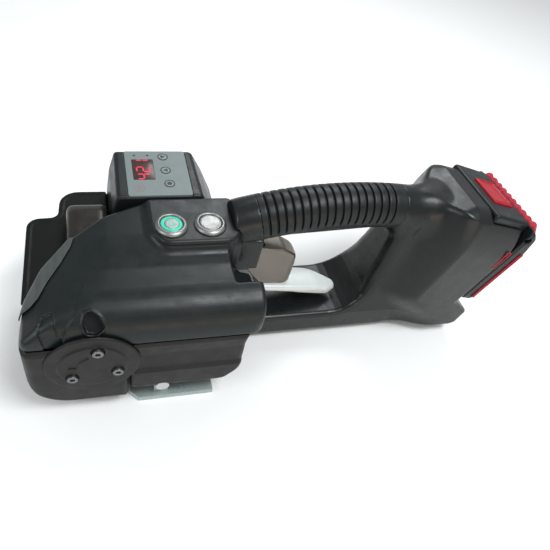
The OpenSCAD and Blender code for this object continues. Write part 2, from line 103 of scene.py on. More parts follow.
def outline(u, v, points):
    """Distance from (u, v) to a closed outline."""
    nearest = None
    inside = False
    for (au, av), (bu, bv) in zip(points, points[1:] + points[:1]):
        eu = bu - au
        ev = bv - av
        along = np.clip(((u - au) * eu + (v - av) * ev) / (eu * eu + ev * ev), 0, 1)
        squared = (u - au - along * eu) ** 2 + (v - av - along * ev) ** 2
        nearest = squared if nearest is None else np.minimum(nearest, squared)
        if ev:
            inside = inside ^ (((av > v) != (bv > v)) & (u < au + (v - av) * eu / ev))
    return np.where(inside, -1, 1) * np.sqrt(nearest)


def rounded(points, radius, steps=6):
    """The points of a closed outline with every corner rounded. A third number is a corner's own radius."""
    result = []
    for i, point in enumerate(points):
        here = np.array(point[:2], float)
        back = np.array(points[i - 1][:2]) - here
        ahead = np.array(points[(i + 1) % len(points)][:2]) - here
        reach_limit = 0.48 * min(np.linalg.norm(back), np.linalg.norm(ahead))
        back = back / np.linalg.norm(back)
        ahead = ahead / np.linalg.norm(ahead)
        half = math.acos(np.clip(back @ ahead, -1, 1)) / 2
        wanted = point[2] if len(point) > 2 else radius
        reach = min(wanted / math.tan(half), reach_limit)
        if reach < 0.05:
            result.append(tuple(here))
            continue
        turn = math.pi - 2 * half
        middle = (back + ahead) / np.linalg.norm(back + ahead)
        centre = here + middle * reach / math.cos(half)
        start = here + back * reach - centre
        end = here + ahead * reach - centre
        for k in range(steps + 1):
            t = k / steps
            arm = (math.sin((1 - t) * turn) * start + math.sin(t * turn) * end) / math.sin(turn)
            result.append(tuple(centre + arm))
    return result


def arc(cx, cy, r, a0, a1, steps):
    angles = [math.radians(a0 + (a1 - a0) * k / steps) for k in range(steps + 1)]
    return [(cx + r * math.cos(a), cy + r * math.sin(a)) for a in angles]


def circle(cx, cy, r, count):
    return arc(cx, cy, r, 0, 360, count)[:-1]


def rectangle(low_u, high_u, low_v, high_v, radius, steps=5):
    return rounded([(low_u, low_v), (high_u, low_v), (high_u, high_v), (low_u, high_v)], radius, steps)


def ramp(w, start, end):
    """Rises smoothly from 0 at start to 1 at end."""
    t = np.clip((w - start) / (end - start), 0, 1)
    return t * t * (3 - 2 * t)


def dock(x, z):
    """Distances outward from and upward along the battery's joint face."""
    dx = x - DOCK[0]
    dz = z - DOCK[1]
    out = dx * math.cos(DOCK_TILT) - dz * math.sin(DOCK_TILT)
    up = dx * math.sin(DOCK_TILT) + dz * math.cos(DOCK_TILT)
    return out, up


def undock(out, up):
    """The x and z at these distances from the battery's joint face."""
    x = DOCK[0] + out * math.cos(DOCK_TILT) + up * math.sin(DOCK_TILT)
    z = DOCK[1] - out * math.sin(DOCK_TILT) + up * math.cos(DOCK_TILT)
    return x, z


def panel(y, z):
    """Distances along and above the display's sloping top."""
    dy = y - PANEL_AT[0]
    dz = z - PANEL_AT[1]
    along = dy * math.cos(PANEL_TILT) + dz * math.sin(PANEL_TILT)
    above = dz * math.cos(PANEL_TILT) - dy * math.sin(PANEL_TILT)
    return along, above


# ---------- meshes ----------

def slope(field, points, step=0.02):
    """The field's gradient at points of shape (n, 3)."""
    result = np.zeros_like(points)
    for axis in range(3):
        ahead = points.copy()
        back = points.copy()
        ahead[:, axis] += step
        back[:, axis] -= step
        result[:, axis] = (field(*ahead.T) - field(*back.T)) / (2 * step)
    return result


def skin(field, low, high, cell):
    """Vertices and quads of the field's zero surface, by dual contouring, which keeps sharp edges."""
    axes = [np.arange(a - 1.5 * cell, b + 2.5 * cell, cell) for a, b in zip(low, high)]
    shape = tuple(len(a) for a in axes)
    grid = [a.reshape([-1 if i == k else 1 for k in range(3)]) for i, a in enumerate(axes)]
    values = np.broadcast_to(field(*grid), shape)
    inside = values < 0
    origin = np.array([a[0] for a in axes])

    index = np.full([n - 1 for n in shape], -1)
    crossings = []
    for a in range(3):
        here = inside.take(range(shape[a] - 1), axis=a)
        there = inside.take(range(1, shape[a]), axis=a)
        start = np.argwhere(here != there)
        end = start.copy()
        end[:, a] += 1
        v0 = values[tuple(start.T)]
        v1 = values[tuple(end.T)]
        point = start.astype(float)
        point[:, a] += v0 / (v0 - v1)
        point = origin + cell * point
        normal = slope(field, point)
        normal /= np.maximum(np.linalg.norm(normal, axis=1, keepdims=True), 1e-6)
        around = []
        for db, dc in ((1, 1), (0, 1), (0, 0), (1, 0)):
            cell_at = start.copy()
            cell_at[:, (a + 1) % 3] -= db
            cell_at[:, (a + 2) % 3] -= dc
            index[tuple(cell_at.T)] = 0
            around.append(cell_at)
        crossings.append((around, point, normal, v0 < 0))

    cells = np.argwhere(index == 0)
    index[tuple(cells.T)] = np.arange(len(cells))
    total = np.zeros((len(cells), 3))
    hits = np.zeros(len(cells))
    planes = np.zeros((len(cells), 3, 3))
    pulls = np.zeros((len(cells), 3))
    quads = []
    for around, point, normal, outward in crossings:
        flat_index = [index[tuple(c.T)] for c in around]
        reach = (normal * point).sum(1)
        for owner in flat_index:
            def gather(values):
                return np.bincount(owner, values, len(cells))
            hits += gather(np.ones(len(owner)))
            for i in range(3):
                total[:, i] += gather(point[:, i])
                pulls[:, i] += gather(normal[:, i] * reach)
                for j in range(3):
                    planes[:, i, j] += gather(normal[:, i] * normal[:, j])
        quad = np.stack(flat_index, axis=1)
        quad[~outward] = quad[~outward][:, ::-1]
        quads.append(quad)

    middle = total / hits[:, None]
    pulls -= np.einsum("nij,nj->ni", planes, middle)
    shift = np.linalg.solve(planes + 0.08 * np.eye(3), pulls[:, :, None])[:, :, 0]
    points = middle + np.clip(shift, -0.7 * cell, 0.7 * cell)
    for _ in range(2):
        gradient = slope(field, points)
        length = np.maximum((gradient ** 2).sum(1), 0.05)
        move = -gradient * (field(*points.T) / length)[:, None]
        points = points + np.clip(move, -0.3 * cell, 0.3 * cell)
    return points, np.concatenate(quads)


def smooth_by(mesh, field):
    """Shades the mesh by the field's own slope."""
    points = np.zeros(len(mesh.vertices) * 3)
    mesh.vertices.foreach_get("co", points)
    normals = slope(field, points.reshape(-1, 3) / MM)
    normals /= np.maximum(np.linalg.norm(normals, axis=1, keepdims=True), 1e-6)
    mesh.shade_smooth()
    mesh.normals_split_custom_set_from_vertices(normals)


def new_object(name, data):
    obj = bpy.data.objects.new(name, data)
    bpy.context.scene.collection.objects.link(obj)
    return obj


def from_lists(name, points, faces):
    mesh = bpy.data.meshes.new(name)
    mesh.from_pydata([tuple(p) for p in points], [], [tuple(f) for f in faces])
    mesh.update()
    return new_object(name, mesh)


def sculpt(name, field, low, high, cell, shading=None):
    """A smooth solid from a distance field."""
    points, quads = skin(field, low, high, cell)
    obj = from_lists(name, points * MM, quads.tolist())
    smooth_by(obj.data, shading or field)
    return obj


def face_outward(obj):
    bm = bmesh.new()
    bm.from_mesh(obj.data)
    bmesh.ops.recalc_face_normals(bm, faces=bm.faces[:])
    bm.to_mesh(obj.data)
    bm.free()


def shade(mesh, degrees):
    """Smooth shading, except across edges that turn by more than the given angle."""
    mesh.shade_smooth()
    mesh.set_sharp_from_angle(angle=math.radians(degrees))


def loft(name, rings, closed):
    """A skin over rings of points in mm. It is a closed loop, or has a lid or a single point at each end."""
    indices = []
    points = []
    for ring in rings:
        indices.append([len(points) + k for k in range(len(ring))])
        points += [Vector(p) * MM for p in ring]
    faces = [] if closed else [ring for ring in (indices[0], indices[-1]) if len(ring) > 1]
    for low, high in zip(indices, indices[1:] + (indices[:1] if closed else [])):
        spokes = max(len(low), len(high))
        for k in range(spokes):
            n = (k + 1) % spokes
            corners = (low[k % len(low)], low[n % len(low)], high[n % len(high)], high[k % len(high)])
            faces.append(tuple(dict.fromkeys(corners)))
    obj = from_lists(name, points, faces)
    face_outward(obj)
    return obj


def turned(name, profile, at, spokes=96):
    """A turned solid. Its profile of (radius, height) runs from axis to axis, or is a closed loop off it."""
    rings = []
    for r, h in profile:
        rings.append([(at[0] + u, at[1] + v, at[2] + h) for u, v in circle(0, 0, r, spokes if r else 1)])
    obj = loft(name, rings, closed=profile[0][0] > 0)
    shade(obj.data, 38)
    return obj


def stroke(name, centre_line, half, low, high, put, closed=False):
    """A raised line of even width. put turns (u, v, w) into a point in mm."""
    rings = []
    last = len(centre_line) - 1
    for i, here in enumerate(centre_line):
        before = Vector(centre_line[i - 1] if closed or i else here)
        after = Vector(centre_line[(i + 1) % (last + 1)] if closed or i < last else here)
        direction = (after - before).normalized()
        side = Vector((-direction.y, direction.x)) * half
        left = Vector(here) + side
        right = Vector(here) - side
        rings.append([put(*left, low), put(*left, high), put(*right, high), put(*right, low)])
    obj = loft(name, rings, closed)
    shade(obj.data, 40)
    return obj


def extrude(name, points, low, high, bevel, put, segments=3):
    """A flat plate of the outline's shape with bevelled edges. put turns (u, v, w) into a point in mm."""
    obj = loft(name, [[put(u, v, w) for u, v in points] for w in (low, high)], closed=False)
    bm = bmesh.new()
    bm.from_mesh(obj.data)
    sharp = [e for e in bm.edges if e.calc_face_angle() > 0.7]
    bmesh.ops.bevel(bm, geom=sharp, offset=bevel * MM, offset_type="OFFSET", segments=segments,
                    profile=0.5, affect="EDGES", clamp_overlap=True)
    bm.to_mesh(obj.data)
    bm.free()
    shade(obj.data, 32)
    return obj


def on_panel(u, v, w):
    """A point u across, v along and w above the display's sloping top."""
    y = PANEL_AT[0] + v * math.cos(PANEL_TILT) - w * math.sin(PANEL_TILT)
    z = PANEL_AT[1] + v * math.sin(PANEL_TILT) + w * math.cos(PANEL_TILT)
    return (u, y, z)


def joined(name, objects):
    """One object from several."""
    bm = bmesh.new()
    for obj in objects:
        bm.from_mesh(obj.data)
    mesh = bpy.data.meshes.new(name)
    bm.to_mesh(mesh)
    bm.free()
    for obj in objects:
        old = obj.data
        bpy.data.objects.remove(obj)
        bpy.data.meshes.remove(old)
    shade(mesh, 32)
    return new_object(name, mesh)


def place(obj, body, material, *nodes, slot=None):
    """Paints a piece, sets it riding on its body, and hides the CAD nodes it stands for."""
    obj.data.materials.clear()
    obj.data.materials.append(material)
    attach(obj, body)
    if nodes:
        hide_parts(*nodes)
    return obj


# ---------- materials ----------

class Look:
    """A procedural material in the making: the shader and the nodes that feed it."""

    def __init__(self, name, colour, roughness, metallic=0.0, specular=0.5):
        self.material = bpy.data.materials.new(name)
        self.material.use_nodes = True
        self.tree = self.material.node_tree
        self.shader = self.tree.nodes["Principled BSDF"]
        self.coords = self.node("ShaderNodeTexCoord").outputs["Object"]
        self.set(self.shader, Base_Color=(*colour, 1), Roughness=roughness, Metallic=metallic,
                 Specular_IOR_Level=specular)
        self.material.diffuse_color = (*colour, 1)
        self.height = None

    def set(self, node, **inputs):
        for name, value in inputs.items():
            node.inputs[name.replace("_", " ")].default_value = value
        return node

    def node(self, kind, **inputs):
        return self.set(self.tree.nodes.new(kind), **inputs)

    def link(self, a, b):
        self.tree.links.new(a, b)

    def noise(self, millimetres, detail=3.0, roughness=0.5, stretch=None):
        """Noise with features of the given size."""
        scale = 1 / (millimetres * MM)
        made = self.node("ShaderNodeTexNoise", Scale=scale, Detail=detail, Roughness=roughness)
        source = self.coords
        if stretch:
            mapping = self.node("ShaderNodeMapping", Scale=stretch)
            self.link(source, mapping.inputs["Vector"])
            source = mapping.outputs["Vector"]
        self.link(source, made.inputs["Vector"])
        return made.outputs["Fac"]

    def remap(self, value, low, high, to_low=0.0, to_high=1.0):
        made = self.node("ShaderNodeMapRange", From_Min=low, From_Max=high, To_Min=to_low, To_Max=to_high)
        self.link(value, made.inputs["Value"])
        return made.outputs["Result"]

    def tint(self, factor, colour):
        """Mixes another colour over the base colour where factor is high."""
        made = self.node("ShaderNodeMix")
        made.data_type = "RGBA"
        under, over = made.inputs[6:8]  # the mix node's two colours
        base = self.shader.inputs["Base Color"]
        if base.is_linked:
            self.link(base.links[0].from_socket, under)
        else:
            under.default_value = base.default_value
        over.default_value = (*colour, 1)
        self.link(factor, made.inputs["Factor"])
        self.link(made.outputs[2], base)

    def gloss(self, factor, low, high):
        """Varies the roughness between two values."""
        self.link(self.remap(factor, 0.3, 0.7, low, high), self.shader.inputs["Roughness"])

    def bump(self, value, micrometres):
        """Raises the surface by value times the given height."""
        made = self.node("ShaderNodeBump", Strength=1.0, Distance=micrometres * 1e-6)
        self.link(value, made.inputs["Height"])
        if self.height:
            self.link(self.height, made.inputs["Normal"])
        self.height = made.outputs["Normal"]
        self.link(self.height, self.shader.inputs["Normal"])


def layered(name, colour, roughness, metallic=0.0, specular=0.5, gloss=None, tints=(), bumps=()):
    """A material varied by noise. Each noise is listed as the arguments of Look.noise.

    gloss is (noise, lowest roughness, highest). A tint is (noise, start, full, most, colour) and a bump is
    (noise, micrometres).
    """
    look = Look(name, colour, roughness, metallic, specular)
    if gloss:
        noise, low, high = gloss
        look.gloss(look.noise(*noise), low, high)
    for noise, start, full, most, over in tints:
        look.tint(look.remap(look.noise(*noise), start, full, 0, most), over)
    for noise, height in bumps:
        look.bump(look.noise(*noise), height)
    return look.material


def moulded(name, colour, roughness, specular):
    """Moulded nylon: fine spark-eroded grain, uneven gloss and faint rubbed marks."""
    paler = [c * 1.7 for c in colour]
    return layered(name, colour, roughness, specular=specular,
                   gloss=((9, 4, 0.6), roughness - 0.08, roughness + 0.08),
                   tints=[((22, 3), 0.45, 0.8, 0.4, paler),
                          ((1.6, 6, 0.7, (1, 0.25, 1)), 0.66, 0.8, 0.4, (0.03, 0.035, 0.035))],
                   bumps=[((0.55, 2), 14), ((14, 2), 60)])


def ink(name, colour):
    return layered(name, colour, 0.5, gloss=((1.5, 2), 0.42, 0.58),
                   tints=[((0.8, 3), 0.5, 0.8, 0.3, [c * 1.4 + 0.01 for c in colour])])


def lit(name, colour, strength):
    """A lit plastic: glows with an uneven brightness."""
    look = Look(name, [0.25 * c for c in colour], 0.35, specular=0.25)
    look.set(look.shader, Emission_Color=(*colour, 1))
    look.link(look.remap(look.noise(4, 2), 0.3, 0.7, strength * 0.75, strength * 1.2),
              look.shader.inputs["Emission Strength"])
    look.gloss(look.noise(2, 2), 0.3, 0.42)
    return look.material


BLACK = moulded("black_plastic", (0.0058, 0.0088, 0.0087), 0.37, 0.3)
HANDLE = moulded("handle_plastic", (0.0052, 0.007, 0.0068), 0.32, 0.36)
LOWER = moulded("lower_plastic", (0.0096, 0.0096, 0.0085), 0.46, 0.22)
SHIELD = moulded("shield_plastic", (0.0042, 0.0044, 0.0041), 0.45, 0.16)

# Smoky brown plastic with a soft shine.
DOME = layered("dome_plastic", (0.0135, 0.0115, 0.0092), 0.28, specular=0.3, gloss=((6, 3), 0.22, 0.34),
               tints=[((12, 3), 0.4, 0.75, 0.5, (0.024, 0.02, 0.015))], bumps=[((0.6, 2), 6)])

# Grey plastic, rubbed paler and darker in streaks.
STRIP = layered("strip_plastic", (0.062, 0.071, 0.067), 0.5, specular=0.25, gloss=((7, 3), 0.42, 0.58),
                tints=[((4, 6, 0.7, (1, 0.3, 1)), 0.45, 0.75, 0.75, (0.034, 0.037, 0.033)),
                       ((1.2, 5, 0.7, (1, 0.3, 1)), 0.62, 0.75, 0.5, (0.1, 0.108, 0.104))],
                bumps=[((0.6, 2), 12)])

GRIP = layered("grip_rubber", (0.0048, 0.0066, 0.0068), 0.36, specular=0.34, gloss=((5, 4, 0.6), 0.34, 0.5),
               tints=[((2.5, 5, 0.65), 0.55, 0.8, 0.5, (0.012, 0.015, 0.015))], bumps=[((0.35, 2), 8)])

# Stainless steel from a lathe, with a few handling marks.
TURNED = layered("turned_steel", (0.26, 0.265, 0.255), 0.4, 1.0, gloss=((4, 4, 0.6), 0.34, 0.48),
                 tints=[((3, 5, 0.7), 0.5, 0.75, 0.5, (0.17, 0.174, 0.168))], bumps=[((0.8, 2), 1)])

BRIGHT = layered("bright_steel", (0.58, 0.58, 0.57), 0.28, 1.0, gloss=((1.5, 4, 0.6), 0.2, 0.42),
                 bumps=[((0.4, 3, 0.6), 3)])

TOOL = layered("tool_steel", (0.2, 0.205, 0.21), 0.36, 1.0, gloss=((2, 4, 0.6), 0.3, 0.5),
               tints=[((4, 5, 0.6), 0.5, 0.8, 0.5, (0.1, 0.1, 0.105))], bumps=[((0.5, 3), 4)])

CAST = layered("cast_aluminium", (0.52, 0.53, 0.54), 0.5, 1.0, gloss=((2.5, 4), 0.42, 0.62),
               tints=[((6, 4), 0.5, 0.8, 0.4, (0.35, 0.36, 0.37))], bumps=[((0.8, 3, 0.6), 25)])

# Zinc-coated steel with a dull speckle.
ZINC = layered("zinc", (0.42, 0.48, 0.47), 0.5, 0.6, gloss=((0.9, 3, 0.6), 0.4, 0.66),
               tints=[((0.8, 4, 0.75), 0.42, 0.62, 0.75, (0.26, 0.32, 0.315)),
                      ((0.5, 4, 0.7), 0.6, 0.7, 0.8, (0.62, 0.67, 0.66))],
               bumps=[((0.7, 4, 0.7), 22)])

PADDLE = layered("lever_casting", (0.62, 0.65, 0.635), 0.36, 0.2, gloss=((3, 4, 0.6), 0.28, 0.44),
                 tints=[((7, 4), 0.5, 0.8, 0.35, (0.52, 0.55, 0.54))], bumps=[((0.8, 3), 6)])

# Chromed plate with a slightly dulled finish. Its colour is a painted reflection, darkened and warmed to
# stand for the dark handle above it and the warm surroundings mirrored in it.
CHROME = layered("lever_chrome", (0.2, 0.18, 0.155), 0.36, 0.9, gloss=((11, 2), 0.32, 0.4),
                 tints=[((16, 2), 0.4, 0.75, 0.3, (0.15, 0.134, 0.115))], bumps=[((0.5, 2), 1)])

FILM = layered("panel_film", (0.165, 0.195, 0.192), 0.42, specular=0.2, gloss=((5, 3), 0.36, 0.5),
               tints=[((14, 3), 0.4, 0.8, 0.3, (0.14, 0.168, 0.168))], bumps=[((0.3, 2), 3)])

WINDOW = layered("red_window", (0.04, 0.024, 0.023), 0.22, specular=0.3, gloss=((6, 3), 0.12, 0.22),
                 tints=[((5, 3), 0.4, 0.8, 0.5, (0.1, 0.04, 0.037))])

RED = layered("red_plastic", (0.36, 0.01, 0.022), 0.34, specular=0.2, gloss=((5, 4), 0.27, 0.42),
              tints=[((9, 3), 0.45, 0.8, 0.4, (0.24, 0.008, 0.016))], bumps=[((0.45, 2), 6)])

RED_SOFT = layered("red_rubber", (0.38, 0.018, 0.034), 0.5, specular=0.2, gloss=((3, 4), 0.42, 0.6),
                   tints=[((4, 4), 0.5, 0.8, 0.5, (0.3, 0.015, 0.03))], bumps=[((0.4, 2), 14)])

DARK_INK = ink("dark_ink", (0.018, 0.02, 0.022))
RED_INK = ink("red_ink", (0.24, 0.1, 0.105))
KEY_INK = ink("key_grey", (0.185, 0.215, 0.215))
LED = lit("led_red", (0.9, 0.025, 0.07), 0.95)
TEAL = lit("light_teal", (0.03, 0.66, 0.44), 0.85)

BOARD = layered("circuit_board", (0.01, 0.08, 0.04), 0.4, bumps=[((1.2, 2), 10)],
                tints=[((1.6, 2, 0.5, (1, 0.1, 1)), 0.55, 0.6, 0.7, (0.03, 0.16, 0.08))])

CELL = layered("cell_sleeve", (0.02, 0.09, 0.3), 0.35, gloss=((6, 3), 0.28, 0.42),
               tints=[((10, 3), 0.5, 0.8, 0.4, (0.03, 0.14, 0.42))], bumps=[((4, 2), 12)])

BRONZE = layered("bearing_bronze", (0.62, 0.42, 0.2), 0.34, 1.0, gloss=((2, 4), 0.26, 0.45),
                 bumps=[((0.5, 3), 4)])

BELT = layered("belt_rubber", (0.012, 0.012, 0.012), 0.7, gloss=((1.5, 4), 0.6, 0.8), bumps=[((0.4, 3), 20)])


# ---------- head casing ----------

CASING_PLAN = rounded([
    (DECK_END, FAR_Y, 5), (-16, FAR_Y), (-45, 8), (-66, -6), (-82, -22), (-92, -40), (NOSE_X, -56),
    (NOSE_X, SIDE_Y, 16), (TAIL_X, SIDE_Y, 12), (TAIL_X, -27, 5), (DECK_END, -24, 3)], 12)
BODY_SECTION = rounded([
    (FAR_Y, 40), (FAR_Y, 110, 3), (-10, 110, 14), (-34, 102.6, 14)]
    + arc(SIDE_Y + BULGE_R, SEAM_Z, BULGE_R, 90, 180, 30) + [(SIDE_Y, 40)], 1)
BODY_PROFILE = rounded([
    (TAIL_X, 40), (TAIL_X, 103, 8), (50, 110, 6), (-14, 110, 12), (-42, 107.5, 20), (-66, 101, 16),
    (-84, 92, 12), (-94, 84, 8), (NOSE_X, 78, 4), (NOSE_X, 40)], 6)
NOTCH_X = 36.5
POD_PLAN = rounded([
    (DECK_END, FAR_Y, 5), (-14, FAR_Y, 3), (-14, -12, 12), (-6, -23.5, 10), (DECK_END, -23.5, 13)], 4)


def pod_field(x, y, z):
    return meet(2.6, outline(x, y, POD_PLAN), z - DECK_Z, 60 - z)


def casing(x, y, z):
    """The outer skin of the upper casing, with its raised button pod and the notch beside the lever."""
    body = meet(5, outline(y, z, BODY_SECTION), outline(x, z, BODY_PROFILE))
    body = meet(3, body, outline(x, y, CASING_PLAN))
    notch = meet(2, NOTCH_X - x, slab(y, -50, -21), 82 - z)
    body = cut(1.5, body, notch)
    return join(5, body, pod_field(x, y, z))


NOSE_STEP = rounded([(-55.6, -40, 6), (-58.8, -52.6), (-62.1, -62.4), (-69, -70), (-73, -95), (-120, -95),
                     (-120, -40)], 3)
POCKET = rounded([(-81, -59.2), (-75.3, -58.2), (-74.2, -65.7), (-72.4, -70), (-68, -71.6), (-79.6, -73.3),
                  (-83.3, -69.3), (-83, -64.6)], 1.2)
PORT = rounded([(-3.9, 5.6), (-0.9, 6.6), (3.2, 3.3), (6.7, -3.7), (1.8, -8), (-4.1, -7), (-5.9, -1.3)], 2.4)
PORT_AT = (-52.3, -67, 93.7)
PORT_TILT = math.radians(47)
PORT_DEPTH = 7.4


def port_frame(x, y, z):
    """Distances across, up and out of the bulge at the port."""
    dy = y - PORT_AT[1]
    dz = z - PORT_AT[2]
    return (x - PORT_AT[0], dy * math.sin(PORT_TILT) + dz * math.cos(PORT_TILT),
            dz * math.sin(PORT_TILT) - dy * math.cos(PORT_TILT))


def main_housing_field(x, y, z):
    outside = casing(x, y, z)
    thicker = 1.8 * ramp(-x, 48, 58) * ramp(-y, 34, 42)
    shell = meet(0.6, outside, -(outside + WALL + thicker), SEAM_Z + 0.4 - z)
    step = meet(1.2, outline(x, y, NOSE_STEP), -(outside + 1.4 * ramp(-y, 42, 57)))
    pocket = meet(0.5, outline(x, y, POCKET), -(outside + 2.9))
    buttons = [np.hypot(x - b, y - BUTTON_Y) - BUTTON_HOLE_R for b in BUTTONS]
    across, up, out = port_frame(x, y, z)
    port = outline(across, up, PORT)
    rim = meet(0.5, np.abs(port - 0.8) - 0.8, outside - 0.45, -9 - out)
    floor_of_port = meet(0.5, port - 1.6, slab(out, -PORT_DEPTH - 1.8, -PORT_DEPTH))
    root = meet(1, slab(x, DECK_END - 5, DECK_END + 5), slab(y, -14, 10), slab(z, 60, 98))
    shell = cut(0.5, shell, *buttons)
    shell = cut(1.0, shell, step)
    shell = cut(0.5, shell, pocket)
    shell = cut(0.5, join(0.5, shell, rim, floor_of_port), meet(0.3, port, -PORT_DEPTH - out))
    return cut(0.7, shell, root)


place(sculpt("main_housing_shell", main_housing_field, (NOSE_X, SIDE_Y, SEAM_Z),
             (TAIL_X, FAR_Y, DECK_Z), 0.85),
      "frame", BLACK, "main_housing", slot="black_plastic")


STRIP_PLAN = rounded([
    (-62, -6, 1), (-64, -14, 1), (-69.5, -24), (-78, -36), (-83.6, -46.5, 1), (-88, -50, 1), (-105, -54, 1),
    (-105, -30), (-80, 0)], 8)


def nose_guard_field(x, y, z):
    skin_distance = casing(x, y, z)
    return meet(0.5, skin_distance - 1.1, 0.05 - skin_distance, outline(x, y, STRIP_PLAN), SEAM_Z + 3 - z)


place(sculpt("nose_guard_strip", nose_guard_field, (NOSE_X - 2, -68, SEAM_Z), (-60, -3, 106), 0.6),
      "frame", STRIP, "nose_guard", slot="grey_strip")


# The lower covers end just short of the casing's seam.
LOWER_TOP = SEAM_Z - 0.4
GEAR_PROFILE = rounded([
    (NOSE_X, LOWER_TOP, 1), (NOSE_X, 12, 32), (-31.3, 12, 2), (-31.3, LOWER_TOP, 1)], 2, 12)


def gear_housing_field(x, y, z):
    outer = meet(5, outline(x, z, GEAR_PROFILE), outline(x, y, CASING_PLAN))
    outer = meet(1, outer, y + 30, z - LOWER_TOP)
    inner = meet(2, outer + WALL, slab(y, SIDE_Y + WALL, -20))
    shell = cut(0.8, outer, inner, meet(0.5, slab(x, -91, -34), slab(y, SIDE_Y + WALL, -20), 60 - z))
    hub = np.hypot(x - DRIVE[0], z - DRIVE[1])
    ring = meet(0.5, np.abs(hub - 12.6) - 1.4, slab(y, SIDE_Y + 1, -62))
    return join(0.5, shell, ring)


place(sculpt("gear_housing_shell", gear_housing_field, (NOSE_X, SIDE_Y, 12), (-31, -30, SEAM_Z), 1.0),
      "frame", LOWER, "gear_housing", slot="warm_black_plastic")


COVER_R = 29
BOSS_R = 21


def gear_cover_field(x, y, z):
    hub = np.hypot(x - DRIVE[0], z - DRIVE[1])
    angle = np.degrees(np.arctan2(z - DRIVE[1], x - DRIVE[0]))
    disc = meet(1.2, hub - COVER_R, slab(y, SIDE_Y - 1.6, SIDE_Y + 2))
    boss = meet(0.8, hub - BOSS_R, slab(y, SIDE_Y - 2.6, SIDE_Y + 2))
    disc = np.maximum(disc, y - SIDE_Y)
    boss = np.maximum(boss, y - SIDE_Y)
    groove = meet(0.4, np.abs(hub - 12) - 2.2, np.abs(angle - 150) - 48, SIDE_Y - 5 - y, y - SIDE_Y + 2)
    cover = cut(0.4, join(0.8, disc, boss), groove)
    for screw_x, screw_z in COVER_SCREWS:
        from_screw = np.hypot(x - screw_x, z - screw_z)
        cover = cut(0.3, cover, meet(0.2, from_screw - 4.2, y - SIDE_Y + 1.2), from_screw - 2.3)
    return cover


place(sculpt("gear_cover_plate", gear_cover_field, (-84, SIDE_Y - 3, 30), (-24, SIDE_Y, 90), 0.6),
      "frame", LOWER, "gear_cover", slot="warm_black_plastic")


MOTOR_SECTION = rounded([
    (-31, LOWER_TOP, 0.5), (-31, 19, 1), (-66, 18.5, 5), (SIDE_Y + 0.6, 21.5, 5), (SIDE_Y, 42, 1),
    (SIDE_Y + 1.6, 45.5, 1), (SIDE_Y + 1.6, 62), (SIDE_Y, LOWER_TOP, 1)], 1)
MOTOR_PROFILE = rounded([
    (-30.7, LOWER_TOP, 0.5), (-30.7, 18, 2), (34, 18, 16), (46, 34, 16), (46, 50), (45.4, 62),
    (46, LOWER_TOP, 1)], 1)
PIN = (-8, 18)


def motor_cover_field(x, y, z):
    outer = meet(4, outline(y, z, MOTOR_SECTION), outline(x, z, MOTOR_PROFILE))
    outer = meet(0.6, outer, y + 31, -30.7 - x)
    inner = meet(2, outer + WALL, slab(z, 22, 90))
    open_top = meet(1, slab(x, -40, 43), slab(y, SIDE_Y + WALL, -20), 60 - z)
    open_side = meet(1, slab(x, -40, 43), slab(y, -40, -20), 22 - z)
    pin_room = meet(1, np.hypot(x - PIN[0], z - PIN[1]) - 6.8, y + 55)
    tab_room = meet(0.5, slab(x, PIN[0] - 5.4, PIN[0] + 5.4), slab(y, -68.4, -55), z - 25.4)
    return cut(0.8, outer, inner, open_top, open_side, pin_room, tab_room)


place(sculpt("motor_cover_shell", motor_cover_field, (-31, SIDE_Y, 18), (46, -31, SEAM_Z), 0.95),
      "frame", LOWER, "motor_cover", slot="warm_black_plastic")


SHIELD_OUTLINE = rounded([
    (-95, -39.5, 1), (-95, 37, 9), (-74, 38, 6), (-72.5, 66, 14), (-38.5, 66, 1.5),
    (-38.5, 11.6, 1), (-45, 8.6), (-66, -5.4), (-82, -21.4), (-91.5, -39.5, 1)], 8)


def front_shield_field(x, y, z):
    edge = outline(x, y, SHIELD_OUTLINE)
    plate = meet(0.9, edge, slab(z, 78, 80.4))
    dish = meet(0.6, edge + 3.5, 80.05 - z)
    return cut(0.4, plate, dish)


place(sculpt("front_shield_plate", front_shield_field, (-95, -40, 78), (-38, 66, 80.5), 0.8),
      "frame", SHIELD, "front_shield", slot="shield_black")

DOME_FOOT = 80.5
DOME_SECTION = rounded([(-8, DOME_FOOT), (-8, 98.2), (27, 98.4, 9), (37, 93, 12), (41.6, DOME_FOOT, 1)], 3)
DOME_PROFILE = rounded([(-39, DOME_FOOT), (-39, 98, 7), (-67.6, 98, 9), (-67.6, DOME_FOOT)], 3)
DOME_PLAN = rounded([
    (-39.2, 41.8, 4), (-39.2, 11.8, 1), (-45, 9, 2), (-66, -5, 2), (-67.8, -5.6, 1), (-67.8, 41.8, 14)], 3)


def dome_field(x, y, z):
    outer = meet(4, outline(y, z, DOME_SECTION), outline(x, z, DOME_PROFILE))
    outer = meet(0.6, outer, outline(x, y, DOME_PLAN), DOME_FOOT - z)
    return cut(0.3, outer, meet(1, outer + 2.4, 60 - z), meet(0.3, outline(x, y, DOME_PLAN) + 2.4, z - 84))


place(sculpt("tension_unit_dome", dome_field, (-68, -6, DOME_FOOT), (-39, 42, 98.5), 0.8),
      "frame", DOME, "tension_unit_cover", slot="dome_brown")


# ---------- screws ----------

def hex_distance(u, v):
    """How far out the hexagon lies that passes through (u, v) and has a flat top."""
    lean = math.radians(30)
    slants = [np.abs(math.cos(lean) * u + sign * math.sin(lean) * v) for sign in (-1, 1)]
    return np.maximum(np.abs(v), np.maximum(*slants))


